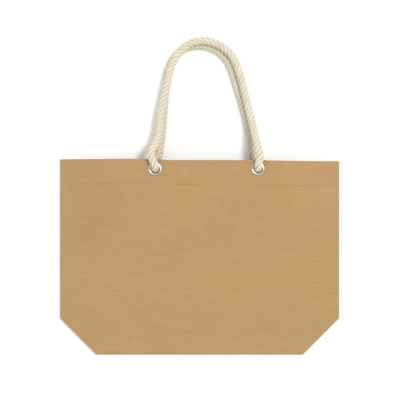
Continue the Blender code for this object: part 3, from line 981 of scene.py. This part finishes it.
# %% Geometry Nodes tools
def stitch_tree(name, shape):
    """Nodes that set a stitch on every even step of a line, as a realized mesh."""
    tree = bpy.data.node_groups.new(name, "GeometryNodeTree")
    inputs = {"Geometry": "Geometry", "Spacing": "Float", "Tilt": "Float"}
    inputs |= {"Size": "Vector", "Material": "Material"}
    for title, kind in inputs.items():
        tree.interface.new_socket(title, in_out="INPUT", socket_type="NodeSocket" + kind)
    tree.interface.new_socket("Geometry", in_out="OUTPUT", socket_type="NodeSocketGeometry")
    make = tree.nodes.new
    start, end = make("NodeGroupInput"), make("NodeGroupOutput")
    curve, even = make("GeometryNodeMeshToCurve"), make("GeometryNodeResampleCurve")
    even.mode = "LENGTH"
    join(tree, start, "Geometry", curve, "Mesh")
    join(tree, curve, "Curve", even)
    join(tree, start, "Spacing", even, "Length")
    tangent, align = make("GeometryNodeInputTangent"), make("FunctionNodeAlignRotationToVector")
    align.axis = "X"
    join(tree, tangent, 0, align, "Vector")
    random = make("FunctionNodeRandomValue")
    random.data_type = "FLOAT_VECTOR"
    random.inputs["Seed"].default_value = 7
    for socket, sign in enumerate((-1.0, 1.0)):
        limit = make("ShaderNodeVectorMath")
        limit.operation = "SCALE"
        limit.inputs[0].default_value = (sign, sign, sign)
        join(tree, start, "Tilt", limit, "Scale")
        join(tree, limit, 0, random, socket)
    turn = make("FunctionNodeRotateRotation")
    turn.rotation_space = "LOCAL"
    join(tree, align, "Rotation", turn)
    join(tree, random, "Value", turn, "Rotate By")
    if shape == "grain":
        body = make("GeometryNodeMeshUVSphere")
        set_inputs(body, {"Segments": 10, "Rings": 8, "Radius": 0.5})
        mesh = body.outputs["Mesh"]
    else:
        ring = make("GeometryNodeCurvePrimitiveCircle")
        profile = make("GeometryNodeCurvePrimitiveCircle")
        set_inputs(ring, {"Resolution": 22, "Radius": 0.5})
        set_inputs(profile, {"Resolution": 6, "Radius": 0.055})
        tube, upright = make("GeometryNodeCurveToMesh"), make("GeometryNodeTransform")
        upright.inputs["Rotation"].default_value = (0.0, math.pi / 2, 0.0)
        join(tree, ring, "Curve", tube)
        join(tree, profile, "Curve", tube, "Profile Curve")
        join(tree, tube, "Mesh", upright, "Geometry")
        mesh = upright.outputs["Geometry"]
    sized = make("GeometryNodeTransform")
    link(tree, mesh, sized.inputs["Geometry"])
    join(tree, start, "Size", sized, "Scale")
    instance = make("GeometryNodeInstanceOnPoints")
    join(tree, even, "Curve", instance, "Points")
    join(tree, sized, "Geometry", instance, "Instance")
    join(tree, turn, "Rotation", instance)
    realize, smooth = make("GeometryNodeRealizeInstances"), make("GeometryNodeSetShadeSmooth")
    paint = make("GeometryNodeSetMaterial")
    join(tree, instance, "Instances", realize, "Geometry")
    join(tree, realize, "Geometry", smooth)
    join(tree, smooth, "Geometry", paint)
    join(tree, start, "Material", paint)
    join(tree, paint, "Geometry", end)
    return tree


GRAINS = stitch_tree("stitch_grains", "grain")
LOOPS = stitch_tree("overlock_loops", "loop")


def stitched(name, tree, line, spacing, size, tilt):
    """Stitches along a line, as a plain mesh."""
    mesh = bpy.data.meshes.new(name)
    edges = [(i, i + 1) for i in range(len(line) - 1)]
    mesh.from_pydata([tuple(p) for p in line], edges, [])
    piece = add_object(name, mesh)
    modifier = piece.modifiers.new("stitches", "NODES")
    modifier.node_group = tree
    values = {"Spacing": spacing, "Tilt": tilt, "Size": size, "Material": THREAD}
    for item in tree.interface.items_tree:
        if item.in_out == "INPUT" and item.name in values:
            modifier[item.identifier] = values[item.name]
    flattened(piece)
    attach(piece, "bag")
    print(name, len(piece.data.polygons), "faces")
    return piece


# %% Hem stitches
def hem_line(outside, side, depth, sag_share):
    """The stitch line of a hem, sunk in its groove."""
    x = np.linspace(-0.2465, 0.2465, 200)
    y = np.full_like(x, HEM_BOTTOM)
    z = outside(x, y) + side * depth
    return np.stack([x, y - sag_share * sag_at(x, y), z], -1)


STITCH = (0.0027, 0.00062, 0.00055)
STITCH_STEP, STITCH_TILT = 0.0034, 0.04
for name, line in (
    ("front_hem_stitches", hem_line(front_outside, 1, -0.00010, FRONT_SAG)),
    ("back_hem_stitches", hem_line(back_outside, -1, -0.00040, BACK_SAG)),
):
    stitched(name, GRAINS, line, STITCH_STEP, STITCH, STITCH_TILT)

# %% Overlocked seams
LOOP_STEP = 0.0024
side_y = np.linspace(FOLD_TOP + 0.002, TOP - 0.004, 120)
corner_y = np.linspace(-0.1635, FOLD_TOP - 0.003, 30)
SEAMS = {
    "side": (0.2435, side_y, (0.0025, 0.0072, 0.0026), 0.10),
    "corner": (0.1829, corner_y, (0.0025, 0.0042, 0.0026), 0.06),
}
for side, name in ((-1, "left"), (1, "right")):
    for kind, (seam_x, seam_y, size, tilt) in SEAMS.items():
        level = np.full_like(seam_y, MIDDLE_Z)
        edge = np.stack([np.full_like(seam_y, side * seam_x), seam_y, level], -1)
        seam = stitched(f"{name}_{kind}_overlock", LOOPS, edge, LOOP_STEP, size, tilt)
        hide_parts(f"{name}_{kind}_seam")

# %% [markdown]
# ## Eyelets
# An eyelet is a thin ring pressed from sheet metal: a domed flange outside, a
# barrel through the cloth, and a washer that the barrel is rolled over inside.
# Its profile is turned round the hole's axis, as on a lathe.


# %% Nickel material
TARNISH = (0.34, 0.30, 0.24, 1.0)


def nickel_group():
    """Colour, roughness and height of plated metal with light handling marks."""
    group, start, end = new_group(
        "plated_nickel",
        [("Vector", "Vector", None), ("Metal", "Color", (0.7, 0.68, 0.64, 1.0))],
        SURFACE,
    )
    marks = scaled_noise(group, start.outputs["Vector"], (350.0, 350.0, 350.0), 4.0)
    cloud = scaled_noise(group, start.outputs["Vector"], (90.0, 90.0, 90.0), 2.0)
    share = ranged(group, cloud, 0.45, 0.75, 0.0, 0.35)
    dull = mixed_colour(group, share, start.outputs["Metal"], TARNISH)
    group.links.new(dull, end.inputs["Color"])
    group.links.new(ranged(group, marks, 0.3, 0.7, 0.20, 0.38), end.inputs["Roughness"])
    group.links.new(marks, end.inputs["Height"])
    return group


def nickel_material(name, metal):
    """Plated nickel."""
    material, tree, shader = principled(name)
    place = tree.nodes.new("ShaderNodeTexCoord")
    tones = {"Metal": (*metal, 1.0)}
    plated = add_group(tree, shader, nickel_group(), place.outputs["Object"], tones)
    set_inputs(shader, {"Metallic": 1.0})
    add_bump(tree, shader, plated.outputs["Height"], 0.15, 0.0001)
    return material


NICKEL = nickel_material("nickel", (0.52, 0.49, 0.42))

# %% Turned rings
TURNS = 72
BORE = 0.0071


def rounded(profile, passes=2):
    """A closed profile with its corners cut, twice as many points each time."""
    for _ in range(passes):
        after = np.roll(profile, -1, axis=0)
        profile = np.stack([0.75 * profile + 0.25 * after, 0.25 * profile + 0.75 * after], 1)
        profile = profile.reshape(-1, 2)
    return profile


def turned_ring(name, node, profile, side):
    """A ring whose profile gives radius and depth, from the node's own radius and height."""
    low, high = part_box(node)
    middle = ((low.x + high.x) / 2, (low.y + high.y) / 2)
    start = high.z if side > 0 else low.z
    loop = rounded(np.array(profile((high.x - low.x) / 2, high.z - low.z)))
    angle = np.linspace(0.0, 2 * math.pi, TURNS, endpoint=False)[:, None]
    x = middle[0] + loop[:, 0] * np.cos(angle)
    y = middle[1] + loop[:, 0] * np.sin(angle)
    z = start - side * np.repeat(loop[None, :, 1], TURNS, axis=0)
    points = np.stack([x, y, z], -1).reshape(-1, 3)
    ring = mesh_object(name, points, grid_faces(TURNS, len(loop), closed=True, looped=True), NICKEL)
    fresh = bmesh.new()
    fresh.from_mesh(ring.data)
    bmesh.ops.recalc_face_normals(fresh, faces=fresh.faces)
    fresh.to_mesh(ring.data)
    fresh.free()
    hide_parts(node)
    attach(ring, "bag")
    return ring


def eyelet_profile(radius, height):
    """Radius and depth round a flange, down the barrel and back up its inside."""
    return [
        (BORE, 0.0012),
        (BORE + 0.0008, 0.0002),
        (BORE + 0.0020, -0.0001),
        (radius - 0.0022, 0.0001),
        (radius - 0.0004, 0.0007),
        (radius, 0.0015),
        (radius - 0.0005, 0.0016),
        (radius - 0.0020, 0.0011),
        (BORE + 0.0012, 0.0010),
        (BORE + 0.0008, 0.0020),
        (BORE + 0.0007, height - 0.0009),
        (BORE + 0.0010, height - 0.0001),
        (BORE + 0.0002, height),
        (BORE, height - 0.0008),
    ]


def washer_profile(radius, height):
    """Radius and depth round a flat ring with a soft outer edge."""
    return [
        (BORE + 0.0012, 0.0),
        (radius - 0.0006, 0.0),
        (radius, 0.4 * height),
        (radius - 0.0002, height),
        (BORE + 0.0014, height),
        (BORE + 0.0011, 0.5 * height),
    ]


for panel_name, side in (("front", 1), ("back", -1)):
    for place in ("left", "right"):
        corner = f"{panel_name}_{place}"
        turned_ring(f"{corner}_ring", f"{corner}_eyelet", eyelet_profile, side)
        turned_ring(f"{corner}_inner_ring", f"{corner}_washer", washer_profile, side)

# %% [markdown]
# ## Knots
# Inside the bag each rope end is tied in an overhand knot, which is what stops
# it from slipping out. A trefoil is an overhand knot with its ends joined, so
# the rope follows most of a trefoil and leaves it at both ends.


# %% Knotted ends
KNOT_OFFSET, KNOT_Y, KNOT_LEVEL = 0.024, 0.153, 0.0323
KNOT_SIZE, KNOT_LOBES, KNOT_HEIGHT = 0.0068, 0.0047, 0.0048
TAIL_Y = (0.130, 0.1195, 0.1115)
# How the rope's radius changes: pulled tight in the knot and loose again at its end
TIGHTER, LOOSER, CHANGE = 0.0009, 0.0011, 0.012


def knot_line(eyelet_x, start_z, away, level):
    """From the eyelet's barrel into an overhand knot to one side, and out into a tail."""
    centre = np.array((eyelet_x + away * KNOT_OFFSET, KNOT_Y, level))
    turn = np.linspace(0.10, 0.90, 60) * 2 * math.pi
    reach = KNOT_SIZE + KNOT_LOBES * np.cos(3 * turn)
    x, y = -away * reach * np.cos(2 * turn), reach * np.sin(2 * turn)
    loop = np.stack([x, y, KNOT_HEIGHT * np.sin(3 * turn)], -1) + centre
    down = math.copysign(1.0, level - start_z)
    lead = [
        (eyelet_x, EYELET_Y, start_z),
        (eyelet_x, EYELET_Y, start_z + down * 0.003),
        (eyelet_x + away * 0.002, EYELET_Y, start_z + down * 0.0065),
        (eyelet_x + away * 0.006, EYELET_Y, level - down * 0.0015),
    ]
    end = loop[-1]
    tail = [
        (end[0] * 0.5 + centre[0] * 0.5, end[1] - 0.010, level),
        (centre[0] + away * 0.002, TAIL_Y[0], level),
        (centre[0] + away * 0.003, TAIL_Y[1], level),
        (centre[0] + away * 0.003, TAIL_Y[2], level),
    ]
    line = np.vstack([lead, loop, tail])
    return eased(evenly_spaced(smooth_route(line, 6), ROPE_STEP), 16)


for panel_name, away, start_z in (("front", -1, 0.0436), ("back", 1, 0.0212)):
    for place, eyelet_x in EYELET_X.items():
        line = knot_line(eyelet_x, start_z, away, KNOT_LEVEL)
        gone = np.arange(len(line)) * ROPE_STEP
        radii = NARROW_RADIUS - TIGHTER * smooth_step((gone - THIN_LENGTH) / CHANGE)
        radii = radii + LOOSER * smooth_step((gone - gone[-1] + CHANGE) / CHANGE)
        rope_end = laid_rope(f"{panel_name}_{place}_knot", line, radii, 0.4)
        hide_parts(f"{panel_name}_{place}_rope_end")
        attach(rope_end, "bag")
        print(rope_end.name, round(line_length(line), 3), "m")

# %% [markdown]
# ## Update the scene
# The finished pieces have to fill the same box as the frame.

# %% Update the scene
bpy.context.view_layer.update()
